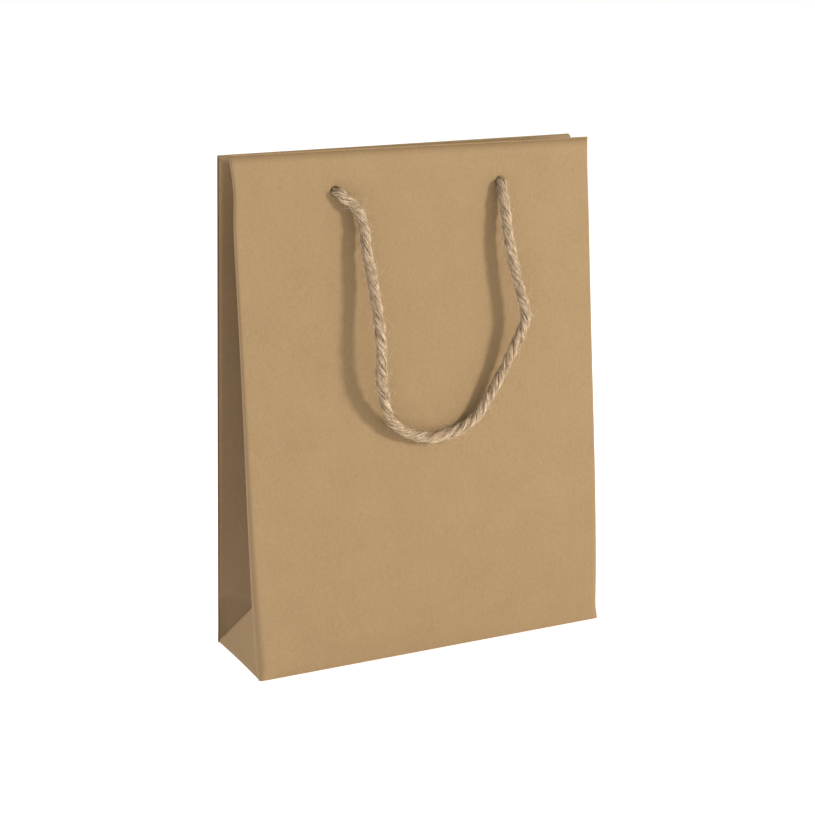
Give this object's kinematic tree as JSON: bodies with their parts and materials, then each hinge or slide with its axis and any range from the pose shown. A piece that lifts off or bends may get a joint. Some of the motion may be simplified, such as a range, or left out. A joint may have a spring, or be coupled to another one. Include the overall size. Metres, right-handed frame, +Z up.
{
  "type": "gift bag",
  "caption": "Kraft paper gift bag with a block bottom, side gussets that unfold as the mouth opens, a turned-in hem and jute rope handles that swing up.",
  "frame": {"origin": "centre of the bag's bottom, on the surface it stands on", "axes": "+Z up, +X along the width, -Y towards the front panel"},
  "size_m": [0.22, 0.0747, 0.2892],
  "materials": {
    "kraft_paper": "matt, unbleached, fine fibre",
    "kraft_inside": "matt, unbleached inner face",
    "grey_board": "matt recycled board",
    "jute_rope": "twisted jute, fuzzy"
  },
  "bodies": {
    "base": {"bottom_front_flap": "kraft_paper", "bottom_rear_flap": "kraft_paper", "bottom_side_flap_left": "kraft_paper", "bottom_side_flap_right": "kraft_paper", "base_board": "grey_board"},
    "left_foot": {"left_foot_fold": "kraft_paper"},
    "right_foot": {"right_foot_fold": "kraft_paper"},
    "front_panel": {"front_panel": "kraft_paper", "front_hem": "kraft_inside", "front_hem_card": "grey_board", "front_left_knot": "jute_rope", "front_right_knot": "jute_rope"},
    "back_panel": {"back_panel": "kraft_paper", "back_hem": "kraft_inside", "back_hem_card": "grey_board", "back_left_knot": "jute_rope", "back_right_knot": "jute_rope", "side_seam_lap": "kraft_inside"},
    "left_gusset_front": {"left_gusset_front": "kraft_paper", "left_gusset_front_hem": "kraft_inside"},
    "left_gusset_rear": {"left_gusset_rear": "kraft_paper", "left_gusset_rear_hem": "kraft_inside"},
    "right_gusset_front": {"right_gusset_front": "kraft_paper", "right_gusset_front_hem": "kraft_inside"},
    "right_gusset_rear": {"right_gusset_rear": "kraft_paper", "right_gusset_rear_hem": "kraft_inside"},
    "front_handle": {"front_handle": "jute_rope"},
    "back_handle": {"back_handle": "jute_rope"}
  },
  "joints": [
    {"name": "mouth_front", "type": "hinge", "parent": "base", "child": "front_panel", "pos_m": [0, -0.035, 0], "axis": [1, 0, 0], "range_deg": [0, 3.8]},
    {"name": "mouth_back", "type": "hinge", "parent": "base", "child": "back_panel", "pos_m": [0, 0.035, 0], "axis": [-1, 0, 0], "range_deg": [0, 4.9]},
    {"name": "left_gusset_front_fold", "type": "hinge", "parent": "front_panel", "child": "left_gusset_front", "pos_m": [-0.1098, -0.0331, 0], "axis": [0, 0.0732, 0.9973], "range_deg": [0, 51.4]},
    {"name": "right_gusset_front_fold", "type": "hinge", "parent": "front_panel", "child": "right_gusset_front", "pos_m": [0.1098, -0.0331, 0], "axis": [0, -0.0732, -0.9973], "range_deg": [0, 51.4]},
    {"name": "left_gusset_rear_fold", "type": "hinge", "parent": "back_panel", "child": "left_gusset_rear", "pos_m": [-0.1098, 0.0331, 0], "axis": [0, 0.0941, -0.9956], "range_deg": [0, 51.4]},
    {"name": "right_gusset_rear_fold", "type": "hinge", "parent": "back_panel", "child": "right_gusset_rear", "pos_m": [0.1098, 0.0331, 0], "axis": [0, -0.0941, 0.9956], "range_deg": [0, 51.4]},
    {"name": "left_foot_unfold", "type": "hinge", "parent": "base", "child": "left_foot", "pos_m": [-0.1098, 0, 0.0011], "axis": [0, -1, 0], "range_deg": [0, 17.96]},
    {"name": "right_foot_unfold", "type": "hinge", "parent": "base", "child": "right_foot", "pos_m": [0.1098, 0, 0.0011], "axis": [0, 1, 0], "range_deg": [0, 17.96]},
    {"name": "front_handle_swing", "type": "hinge", "parent": "front_panel", "child": "front_handle", "pos_m": [0, -0.01889, 0.26854], "axis": [-1, 0, 0], "range_deg": [0, 170], "deforming": ["front_handle"]},
    {"name": "back_handle_swing", "type": "hinge", "parent": "back_panel", "child": "back_handle", "pos_m": [0, 0.01327, 0.26815], "axis": [1, 0, 0], "range_deg": [0, 170], "deforming": ["back_handle"]}
  ],
  "couplings": [
    {"joint": "mouth_back", "follows": "mouth_front", "ratio": 1.2857},
    {"joint": "left_gusset_front_fold", "follows": "mouth_front", "ratio": 13.5},
    {"joint": "right_gusset_front_fold", "follows": "mouth_front", "ratio": 13.5},
    {"joint": "left_gusset_rear_fold", "follows": "mouth_front", "ratio": 13.5},
    {"joint": "right_gusset_rear_fold", "follows": "mouth_front", "ratio": 13.5},
    {"joint": "left_foot_unfold", "follows": "mouth_front", "ratio": 4.7},
    {"joint": "right_foot_unfold", "follows": "mouth_front", "ratio": 4.7}
  ]
}
